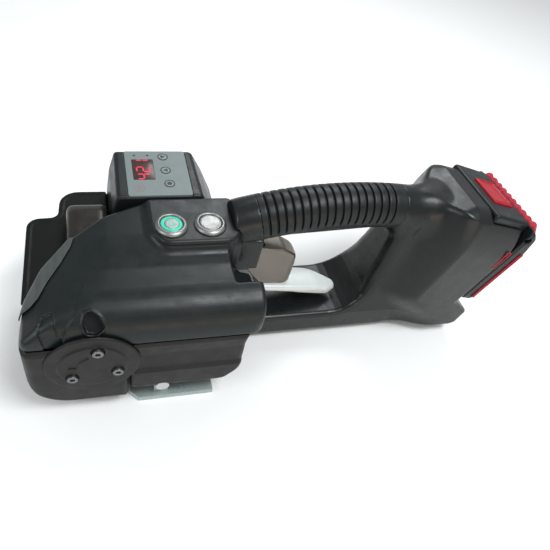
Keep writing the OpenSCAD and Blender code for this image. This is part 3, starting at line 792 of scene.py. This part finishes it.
def screw(name, at, head_y, head_r, head_h, shank_r, tip_y):
    """A cap screw lying along Y. Its head faces away from its tip."""
    side = 1 if head_y > tip_y else -1

    def field(x, y, z):
        radius = np.hypot(x - at[0], z - at[1])
        depth = (head_y - y) * side
        head = meet(0.4, radius - head_r, slab(depth, 0, head_h))
        shank = meet(0.3, radius - shank_r, slab(depth, head_h - 0.5, abs(head_y - tip_y)))
        socket = meet(0.1, hex_distance(x - at[0], z - at[1]) - head_r * 0.46, depth - head_h * 0.62)
        return cut(0.1, join(0.2, head, shank), socket)

    reach = head_r + 0.5
    low = (at[0] - reach, min(head_y, tip_y), at[1] - reach)
    high = (at[0] + reach, max(head_y, tip_y), at[1] + reach)
    return place(sculpt(name, field, low, high, 0.4), "frame", TOOL, slot="bright_steel")


for number, at in enumerate(COVER_SCREWS):
    made = screw(f"cover_screw_{number}", at, SIDE_Y - 4.4, 3.4, 3.0, 2, SIDE_Y)
    if number == 0:
        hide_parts("cover_screws")
for number, (x, z, half) in enumerate(HANDLE_SCREWS):
    screw(f"handle_screw_{number}", (x, z), half - 0.4, 3.4, 2.2, 1.8, 5 - half)


# ---------- display ----------

DISPLAY_PROFILE = rounded([
    (-31, 120, 1), (22, 120, 1), (34, 100, 6), (43.8, 80, 3), (43.8, 78, 1), (-38, 78, 1), (-36, 100, 10)], 3)


def display_field(x, y, z):
    along, above = panel(y, z)
    sides = outline(x, z, DISPLAY_PROFILE)
    outer = meet(2.4, sides, 20.6 - y, y - 69.8, above)
    outer = meet(0.8, outer, 78.2 - z)
    hollow = meet(1, sides + 2.5, slab(y, 23.2, 67.2), above + 2.5)
    seat = meet(1.2, slab(x, PANEL[0], PANEL[1]), slab(along, PANEL[2], PANEL[3]), -1.2 - above)
    through = meet(1, slab(x, -21, 12), slab(along, 6, 46), -6 - above)
    return cut(0.4, outer, hollow, seat, through)


place(sculpt("display_casing", display_field, (-38, 20, 78), (44, 70, 116), 0.8),
      "frame", BLACK, "display_housing", slot="black_plastic")


def panel_field(x, y, z):
    along, above = panel(y, z)
    inset = 0.15
    plan = meet(1.6, slab(x, PANEL[0] + inset, PANEL[1] - inset),
                slab(along, PANEL[2] + inset, PANEL[3] - inset))
    sheet = meet(0.25, slab(above, -1.2, 0.4), plan)
    window = meet(0.8, slab(x, -20.4, -5), slab(along, 17, 39))
    keys = [np.hypot(x - u, along - v) - KEY_R - 0.1 for u, v in KEYS.values()]
    return cut(0.12, sheet, window, *keys)


place(sculpt("display_film", panel_field, (-25.4, 21, 111), (19.8, 69, 116), 0.4),
      "frame", FILM, "display_panel", slot="display_film")

WINDOW_U = -12.7
window_edge = rectangle(WINDOW_U - 7.65, WINDOW_U + 7.65, 17.05, 38.95, 0.8)
place(extrude("display_window_pane", window_edge, -1.2, 0.22, 0.15, on_panel),
      "frame", WINDOW, "display_window", slot="display_window")

DIGIT_H = 9.2
DIGIT_W = 4.9
STROKE = 1.1
BAR_GAP = 0.75
# Each digit's place along the panel and its lit bars: a to f clockwise from the top, and g in the middle.
DIGITS = {"4": (20.6, "fgbc"), "2": (28.2, "abged"), "1": (35.6, "bc")}
# The middle of each bar.
BAR_U = {letter: share * DIGIT_H / 2 for letter, share in zip("abcdefg", (-1, -0.5, 0.5, 1, 0.5, -0.5, 0))}
BAR_V = {letter: share * DIGIT_W / 2 for letter, share in zip("abcdefg", (0, 1, 1, 0, -1, -1, 0))}


def segment_bar(name, digit_v, letter):
    """One lit bar of a digit. The digits read along Y, with their tops towards the nose."""
    lies_across = BAR_V[letter] == 0
    half = (DIGIT_W if lies_across else DIGIT_H / 2) / 2 - BAR_GAP
    wide = STROKE / 2
    tip = half + wide
    points = []
    for a, b in ((-tip, 0), (-half, wide), (half, wide), (tip, 0), (half, -wide), (-half, -wide)):
        du, dv = (b, a) if lies_across else (a, b)
        points.append((WINDOW_U + BAR_U[letter] + du, digit_v + BAR_V[letter] + dv))
    return extrude(name, points, 0.1, 0.28, 0.03, on_panel, 1)


bars = []
for digit, (digit_v, letters) in DIGITS.items():
    bars += [segment_bar(f"bar_{digit}_{letter}", digit_v, letter) for letter in letters]
place(joined("display_digits", bars), "frame", LED, slot="display_window")


def gear_mark(teeth=8, r=2.15):
    """The outline of a small toothed wheel."""
    points = []
    for k in range(teeth):
        for lean, share in ((-0.18, 0.78), (-0.1, 1.0), (0.1, 1.0), (0.18, 0.78)):
            a = 2 * math.pi * k / teeth + lean
            points.append((r * share * math.cos(a), r * share * math.sin(a)))
    return points


KEY_MARKS = {
    "up_key": [(-1.5, -1.9), (2.1, 0), (-1.5, 1.9)],
    "down_key": [(1.5, -1.9), (1.5, 1.9), (-2.1, 0)],
    "settings_key": gear_mark(),
}

for node, (u, v) in KEYS.items():
    body = node + "_body"

    def key_field(x, y, z, u=u, v=v):
        along, above = panel(y, z)
        radius = np.hypot(x - u, along - v)
        crown = 0.62 - 0.018 * radius ** 2
        return meet(0.3, radius - KEY_R, -1.4 - above, above - crown)

    low = (u - 4, PANEL_AT[0] + v - 4, PANEL_AT[1] - 2)
    high = (u + 4, PANEL_AT[0] + v + 4, PANEL_AT[1] + 4)
    place(sculpt(node + "_cap", key_field, low, high, 0.3), body, KEY_INK, node, slot="key_grey")
    mark = [(u + du, v + dv) for du, dv in KEY_MARKS[node]]
    place(extrude(node + "_mark", mark, 0.4, 0.68, 0.04, on_panel, 1), body, DARK_INK, slot="key_grey")
    rim = stroke(node + "_rim", circle(u, v, 3.275, 48), 0.325, 0.3, 0.58, on_panel, closed=True)
    place(rim, body, DARK_INK, slot="key_grey")

dots = [extrude(f"dot_{u}", circle(u, 43.2, 1.0, 20), 0.3, 0.47, 0.05, on_panel, 1) for u in (-18, -8.4)]
place(joined("status_dots", dots), "frame", DARK_INK, slot="display_film")

MARK_AT = (-17, 8.1)
marks = [stroke("mark_ring", circle(*MARK_AT, 3.35, 48), 0.15, 0.3, 0.46, on_panel, closed=True)]
for v in (6.7, 7.9, 9.1):
    line = rectangle(MARK_AT[0] - 1.6, MARK_AT[0] + 1.6, v, v + 0.5, 0.2, 2)
    marks.append(extrude(f"mark_{v}", line, 0.3, 0.46, 0.04, on_panel, 1))
place(joined("panel_print", marks), "frame", RED_INK, slot="display_film")


# ---------- push buttons ----------

# Profiles of (radius, height above the deck).
BEZEL = [
    (7.62, -18), (8.1, -18), (8.1, -0.2), (11.0, 0.02), (11.0, 0.7), (10.8, 1.2), (10.3, 1.75), (9.5, 2.3),
    (8.9, 2.55), (8.5, 2.6), (8.15, 2.5), (7.9, 2.2), (7.62, 1.6)]
CAP_FOOT = [(0, -8), (7.3, -8), (7.5, -7.8)]
PLAIN_CAP = CAP_FOOT + [
    (7.5, 1.6), (7.35, 1.95), (7.0, 2.15), (6.4, 2.2), (6.25, 2.02), (6.05, 2.02), (5.9, 2.2), (4.5, 2.16),
    (2.5, 2.12), (0, 2.1)]
LIT_CAP = CAP_FOOT + [
    (7.5, 1.5), (7.4, 1.8), (7.1, 1.95), (6.95, 1.9), (6.9, 1.1), (4.95, 1.1), (4.9, 2.0), (4.7, 2.2),
    (4.4, 2.25), (2.5, 2.2), (0, 2.2)]
LIGHT_RING = [(6.88, 1.2), (6.88, 1.9), (6.6, 2.1), (5.3, 2.15), (5.0, 2.05), (5.0, 1.2)]

for b, label, cap in zip(BUTTONS, ("power", "tension"), (LIT_CAP, PLAIN_CAP)):
    at = (b, BUTTON_Y, DECK_Z)
    place(turned(label + "_button_bezel_ring", BEZEL, at), "frame", TURNED, label + "_button_bezel",
          slot="button_steel")
    place(turned(label + "_cap_disc", cap, at), label + "_button", TURNED, label + "_button_cap",
          slot="button_steel")
light = turned("power_ring_light", LIGHT_RING, (0, BUTTON_Y, DECK_Z))
place(light, "power_button", TEAL, "power_light_ring", slot="light_ring")


def on_power_cap(u, v, w):
    return (u, BUTTON_Y + v, DECK_Z + w)


# The power symbol points 70 degrees round from +X. Its circle is open over its bar.
SYMBOL_TOP = 70
symbol_circle = arc(0, 0, 1.9, SYMBOL_TOP + 38, SYMBOL_TOP + 322, 28)
symbol_way = (math.cos(math.radians(SYMBOL_TOP)), math.sin(math.radians(SYMBOL_TOP)))
symbol_bar = [(r * symbol_way[0], r * symbol_way[1]) for r in (0.5, 1.4, 2.5)]
symbol = joined("power_symbol", [
    stroke(name, line, 0.27, 2.05, 2.3, on_power_cap)
    for name, line in (("power_circle", symbol_circle), ("power_bar", symbol_bar))])
place(symbol, "power_button", TEAL, slot="light_ring")


# ---------- handle, beam and battery foot ----------

BEAM_HALF = 28
GROOVES = 17
GRIP_START = -14.0
GRIP_END = 6.0
BEAM_START = DECK_END + 0.3
FRAME_SIDE = rounded([
    (BEAM_START, 4), (188, 4.6, 40), (206, 8.5, 30), (233, 9, 20), (250, 9, 6), (256, 12, 4),
    (258.6, 27.5, 1.5), (DOCK[0] + 0.4, 43, 1.5), (262.4, 124.6), (213, 134.6), (187, 129.5, 20),
    (170, 116, 12), (165, 72, 30), (156, 26, 30), (68, 26), (60, 34), (BEAM_START, 42)], 3)


def arch_distance(x, z):
    return np.hypot(x - ARCH[0], z - ARCH[1]) - ARCH_R


def handle_field(x, y, z):
    """The handle, beam and foot as one solid, without its hollows."""
    out, up = dock(x, z)
    across = np.abs(y)
    radius = np.hypot(arch_distance(x, z), y)
    along = np.arctan2(x - ARCH[0], z - ARCH[1]) * ARCH_R
    span = slab(x, DECK_END - 5, 200)
    past_grip = np.minimum(along - math.radians(GRIP_START) * ARCH_R + 0.1,
                           math.radians(GRIP_END) * ARCH_R + 0.1 - along)
    core = meet(2, radius - HANDLE_R + 0.3, span)
    neck = meet(0.4, meet(2.5, radius - GRIP_R + 0.1, span), past_grip)

    height = np.clip((z - 12) / 116, 0, 1)
    low = ramp(z, 10, 56)
    begin = -36 - 32 * low - 6 * height
    end = 4 - 42 * low - 8 * height
    flare = ramp((out - begin) / (end - begin), 0, 1)
    least = BEAM_HALF - 15 * np.clip((z - 26) / 102, 0, 1)
    half = least + (FOOT_HALF - least) * flare ** 0.9
    edge = 4 + 7 * ramp(z, 34, 60) * ramp(-x, -200, -180)
    body = meet(edge, outline(x, z, FRAME_SIDE), across - half)
    shoulder = (across - 31.5) * 0.871 + (up - 77) * 0.49
    body = meet(9, body, shoulder)
    return join(9, body, np.minimum(core, neck))


def handle_shell_field(x, y, z):
    out, up = dock(x, z)
    across = np.abs(y)
    root = meet(1.2, slab(x, 40, 63.5), across - 17.9, slab(z, 75.8, DECK_Z - 9))
    solid = join(3, handle_field(x, y, z), root)
    solid = np.maximum(solid, 0.3 - pod_field(x, y, z))
    mouth = meet(1.5, slab(x, DECK_END - 8, 64), across - 14, slab(z, 60, 97))
    cradle = meet(2, slab(out, -37, 20), across - (FOOT_HALF - 7), -1 - up)
    contacts = meet(1, slab(out, -34, -14), across - 20.5, slab(up, -9, 10))
    seat = meet(0.5, -0.1 - out, -1 - up)
    solid = cut(1, solid, mouth)
    solid = cut(0.8, solid, join(0.5, cradle, contacts))
    return cut(0.5, solid, seat)


for label, side in (("near", -1), ("far", 1)):
    def half_field(x, y, z, side=side):
        return np.maximum(handle_shell_field(x, y, z), -side * y)

    low = (DECK_END - 12, min(0, 40 * side), 3)
    high = (262, max(0, 40 * side), 136)
    half = sculpt(label + "_handle_half", half_field, low, high, 1.1, handle_shell_field)
    place(half, "frame", HANDLE, label + "_handle_shell", slot="black_plastic")


GRIP_STEPS = 640
GRIP_SPOKES = 96


def on_arch(lean, r, a):
    """A point r from the handle's centre line, at angle a around it."""
    up = Vector((math.sin(math.radians(lean)), 0, math.cos(math.radians(lean))))
    return Vector((ARCH[0], -r * math.cos(a), ARCH[1])) + up * (ARCH_R + r * math.sin(a))


def groove_depth(lean):
    """How far the nearest groove and its soft edges cut into the sleeve."""
    pitch = (GRIP_END - GRIP_START - 1.6) / GROOVES
    phase = (lean - GRIP_START - 0.9) / pitch
    if not 0 <= round(phase) < GROOVES:
        return 0
    away = abs(phase - round(phase)) * pitch
    return 1.35 * max(0, 1 - (away / 0.15) ** 4) + 0.45 * max(0, 1 - away / 0.34) ** 2


def grip_sleeve():
    """The rubber sleeve, with grooves that run over the top and fade out underneath."""
    around = [2 * math.pi * k / GRIP_SPOKES for k in range(GRIP_SPOKES)]
    fade = [1 - float(ramp(-math.sin(a), 0.2, 0.36)) for a in around]
    rings = []
    for k in range(GRIP_STEPS + 1):
        lean = GRIP_START + (GRIP_END - GRIP_START) * k / GRIP_STEPS
        depth = groove_depth(lean)
        rings.append([on_arch(lean, GRIP_R - 0.1 - depth * share, a) for a, share in zip(around, fade)])
    for lean in (GRIP_END, GRIP_START):
        rings.append([on_arch(lean, HANDLE_R - 0.2, a) for a in around])
    obj = loft("grip_sleeve_rubber", rings, closed=True)
    obj.data.shade_smooth()
    return obj


place(grip_sleeve(), "frame", GRIP, "grip_sleeve", slot="grip_rubber")


# ---------- lever ----------

PADDLE_SIDE = rounded([
    (70, 50.2, 1.5), (70, 45.4, 1.5), (100, 41.2, 30), (126, 34.8, 20), (138, 32.6, 3), (143.6, 35.4, 3),
    (141, 39.2, 4), (124, 43.8, 30), (100, 47, 30)], 3)
PADDLE_PLAN = rounded([
    (69, -14, 2), (108, -14, 20), (134, -12.6, 12), (144, -7.6, 4), (143, -2.4, 5), (120, 9.4, 24),
    (69, 10, 2)], 6)


def paddle_field(x, y, z):
    crown = 0.012 * (y + 2) ** 2
    return meet(2.6, outline(x, z + crown, PADDLE_SIDE), outline(x, y, PADDLE_PLAN))


place(sculpt("lever_paddle", paddle_field, (69, -14, 30), (144, 10, 51), 0.75),
      "lever", PADDLE, "rocker_lever", slot="lever_cast")

CHEEK = rounded([
    (50, 75, 4), (20, 67, 2), (20, 75, 2), (50, 89, 8), (60, 90, 8), (86, 85.5, 12), (97.5, 78, 9),
    (100, 66, 14), (100, 47.3, 1), (74, 49.6, 2), (66, 58, 8), (56, 73, 6)], 2)


# The plate is one strip bent round in plan, so its end is a half circle.
PLATE_PLAN = rounded([(10, -10.5), (100, -10.5, 8.4), (100, 6.5, 8.4), (10, 6.5)], 1, 16)


def lever_plate_field(x, y, z):
    side = outline(x, z, CHEEK)
    plan = outline(x, y, PLATE_PLAN)
    outer = meet(0.8 + 1.6 * ramp(x, 72, 84), side, plan)
    inner = meet(2, side + 2.6, plan + 2.7)
    fork = meet(0.6, slab(y, -7.8, 3.8), x - 70)
    nose = meet(0.8, slab(x, 16, 22), slab(y, -12, 8), slab(z, 66.6, 73))
    body = join(1.0, cut(0.5, outer, inner, fork), nose)
    return cut(0.3, body, np.hypot(x - LEVER[0], z - LEVER[1]) - 3.1)


place(sculpt("lever_side_plate", lever_plate_field, (16, -12, 47), (100, 8, 90), 0.75),
      "lever", CHROME, "lever_plate", slot="lever_chrome")


# ---------- battery ----------

def upper_case_field(x, y, z):
    out, up = dock(x, z)
    outer = meet(2.5, slab(out, -36, 0), np.abs(y) - (FOOT_HALF - 8), slab(up, 0.5, BATTERY_L))
    inner = meet(1.5, slab(out, -33.6, -2), np.abs(y) - (FOOT_HALF - 10.4), slab(up, 3, BATTERY_L - 2.4))
    latch_hole = meet(1.2, slab(out, -27.5, -6.5), np.abs(y) - 14.5, BATTERY_L - 4 - up)
    slots = [meet(0.3, slab(out, -30, -20), np.abs(y - at) - 1.3, up - 12) for at in (-15, -5, 5, 15)]
    return cut(0.4, outer, inner, latch_hole, *slots)


def dock_box(out0, out1, half, up0, up1):
    """Lowest and highest corner around a box given in the dock's directions."""
    xs, zs = zip(*[undock(out, up) for out in (out0, out1) for up in (up0, up1)])
    return (min(xs), -half, min(zs)), (max(xs), half, max(zs))


place(sculpt("battery_top_case", upper_case_field, *dock_box(-36, 0, 31, 0.5, 80), 0.8),
      "battery", BLACK, "battery_upper_case", slot="black_plastic")

LOWER_CASE = rounded([
    (0.3, 2, 1), (11.5, 2), (13.5, 4.5), (13.5, 58, 8), (9.5, 72, 6), (0.3, BATTERY_L - 0.3, 1)], 2)


def lower_case_field(x, y, z):
    out, up = dock(x, z)
    side = outline(out, up, LOWER_CASE)
    corner = meet(5, np.abs(y) - (FOOT_HALF - 1), up - BATTERY_L + 1)
    case = meet(1.5, side, np.abs(y) - (FOOT_HALF - 1), corner)
    groove = meet(0.4, np.abs(out - 2.6) - 0.6, -(case + 1.1))
    eyelet = meet(1.2, np.hypot(out - 3.2, up - 69.5) - 2.6, -(np.abs(y) - (FOOT_HALF - 6)))
    return cut(0.3, case, groove, eyelet)


place(sculpt("battery_bottom_case", lower_case_field, *dock_box(0.3, 13.5, 38, 2, 80), 0.7),
      "battery", BLACK, "battery_lower_case", slot="black_plastic")


RIB_COUNT = 10
RIB_SPAN = 29
RIB_AT = (6.6, 76.2)
RIB_LEAN = math.radians(46)


def ribs_field(x, y, z):
    """Ten soft ribs over the battery's upper rear edge."""
    out, up = dock(x, z)
    away = (out - RIB_AT[0]) * math.cos(RIB_LEAN) + (up - RIB_AT[1]) * math.sin(RIB_LEAN)
    climb = (up - RIB_AT[1]) * math.cos(RIB_LEAN) - (out - RIB_AT[0]) * math.sin(RIB_LEAN)
    pitch = 2 * RIB_SPAN / (RIB_COUNT - 1)
    nearest = np.clip(np.round((y + RIB_SPAN) / pitch), 0, RIB_COUNT - 1) * pitch - RIB_SPAN
    ribs = meet(1.6, np.hypot(away, y - nearest) - 3, slab(climb, -6.5, 5.5))
    web = meet(1.4, np.abs(away) - 2, np.abs(y) - RIB_SPAN - 2.6, slab(climb, -6, 5))
    return join(1, ribs, web)


place(sculpt("battery_red_ribs", ribs_field, *dock_box(0, 16, 33, 66, 84), 0.55),
      "battery", RED_SOFT, "battery_trim", slot="trim_red")


def on_cheek(side):
    """Puts the dock's (out, up) at w from the middle, on the near side for -1 and the far side for 1."""
    def put(out, up, w):
        x, z = undock(out, up)
        return x, side * w, z
    return put


stripes = []
outlines = []
for side in (-1, 1):
    for out in (10.3, 12.0):
        stripes.append(stroke(f"stripe_{side}_{out}", [(out, 5), (out, 57)], 0.42, FOOT_HALF - 1.6,
                              FOOT_HALF - 0.6, on_cheek(side)))
    outlines.append(stroke(f"outline_{side}", rectangle(-5.2, -2.2, 39.5, 57, 1.3), 0.3, FOOT_HALF - 0.6,
                           FOOT_HALF + 0.25, on_cheek(side), closed=True))
place(joined("battery_red_stripes", stripes), "battery", RED_SOFT, slot="trim_red")
place(joined("cheek_red_outline", outlines), "frame", RED_SOFT, slot="trim_red")


def latch_field(x, y, z):
    out, up = dock(x, z)
    body = meet(1.3, slab(out, -27.2, -6.8), np.abs(y) - 14.2, slab(up, BATTERY_L - 4.6, BATTERY_L + 1.4))
    dish = meet(0.8, slab(out, -24.6, -9.4), np.abs(y) - 11.6, BATTERY_L + 0.7 - up)
    groove = meet(0.3, slab(out, -26, -8), slab(np.abs(y), 12.2, 12.8), BATTERY_L + 0.9 - up)
    return cut(0.4, body, dish, groove)


place(sculpt("battery_latch_button", latch_field, *dock_box(-27.2, -6.8, 14.2, 75, 81.5), 0.5),
      "latch", RED, "battery_latch", slot="latch_red")


# ---------- CAD nodes that are shown as they are ----------

CARRIED = {
    BLACK: ["weld_unit_cover", "terminal_block"],
    BOARD: ["control_board"],
    CELL: ["battery_cells"],
    BRONZE: ["rocker_bearings"],
    BELT: ["drive_belt"],
    ZINC: ["base_plate"],
    CAST: ["head_frame", "weld_frame", "rocker_arm"],
    TOOL: ["gripper_plate", "weld_anvil", "weld_arm", "weld_plate", "tension_wheel", "wheel_gear",
           "drive_gear", "crown_gear", "motor_pinion", "motor_pulley", "eccentric_pulley", "cutter_blade",
           "motor_can", "lever_spring"],
    BRIGHT: ["base_pin", "lever_pin", "tension_shaft", "drive_shaft", "motor_shaft", "eccentric_shaft",
             "shaft_bearings"],
}
for material, nodes in CARRIED.items():
    for node in nodes:
        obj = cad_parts[node]
        obj.data.materials.clear()
        obj.data.materials.append(material)


# ---------- floor, light and camera ----------

def floor():
    """A wide pale floor."""
    obj = from_lists("floor", [(-3, -3, 0), (4, -3, 0), (4, 4, 0), (-3, 4, 0)], [(0, 1, 2, 3)])
    look = Look("floor_white", (0.9, 0.898, 0.89), 0.7, specular=0.2)
    look.tint(look.remap(look.noise(400, 2), 0.4, 0.7, 0, 0.3), (0.88, 0.877, 0.87))
    obj.data.materials.append(look.material)


LIGHT_TARGET = (0.08, 0, 0.06)
COOL = (0.94, 0.98, 1.0)
# Each light's place and size in metres, its power in watts and its colour.
LIGHTS = {
    "key_light": ((0.38, -0.38, 1.1), (0.5, 0.3), 9, COOL),
    "back_light": ((0.4, 0.7, 0.9), (0.6, 0.4), 5, COOL),
    "side_light": ((-0.9, -0.35, 0.75), (0.5, 0.4), 4, (0.9, 0.97, 1.0)),
    "warm_bounce": ((0.15, -1.0, 0.2), (0.9, 0.3), 2.0, (1.0, 0.84, 0.7)),
}


def studio():
    """Soft light from the sky and four area lights."""
    scene = bpy.context.scene
    scene.view_settings.view_transform = "Standard"
    scene.world = bpy.data.worlds.new("studio")
    scene.world.use_nodes = True
    background = scene.world.node_tree.nodes["Background"]
    background.inputs["Color"].default_value = (0.96, 0.98, 1.0, 1)
    background.inputs["Strength"].default_value = 0.5
    for name, (at, size, power, colour) in LIGHTS.items():
        data = bpy.data.lights.new(name, "AREA")
        data.shape = "RECTANGLE"
        data.size, data.size_y = size
        data.energy = power
        data.color = colour
        obj = new_object(name, data)
        obj.location = at
        obj.rotation_euler = (Vector(LIGHT_TARGET) - Vector(at)).to_track_quat("-Z", "Y").to_euler()


CAMERA_AT = (-48.87, -239.25, 334.4)
CAMERA_TURN = (42.51, -8.3, -11.52)


def camera():
    """Looks down from the nose's near side, at the photograph's angle."""
    data = bpy.data.cameras.new("camera")
    data.sensor_width = 36
    data.lens = 32.36
    data.shift_x = 0.1035
    data.shift_y = -0.0187
    data.clip_start = 0.01
    obj = new_object("camera", data)
    obj.location = Vector(CAMERA_AT) * MM
    obj.rotation_euler = [math.radians(a) for a in CAMERA_TURN]
    bpy.context.scene.camera = obj


floor()
studio()
camera()
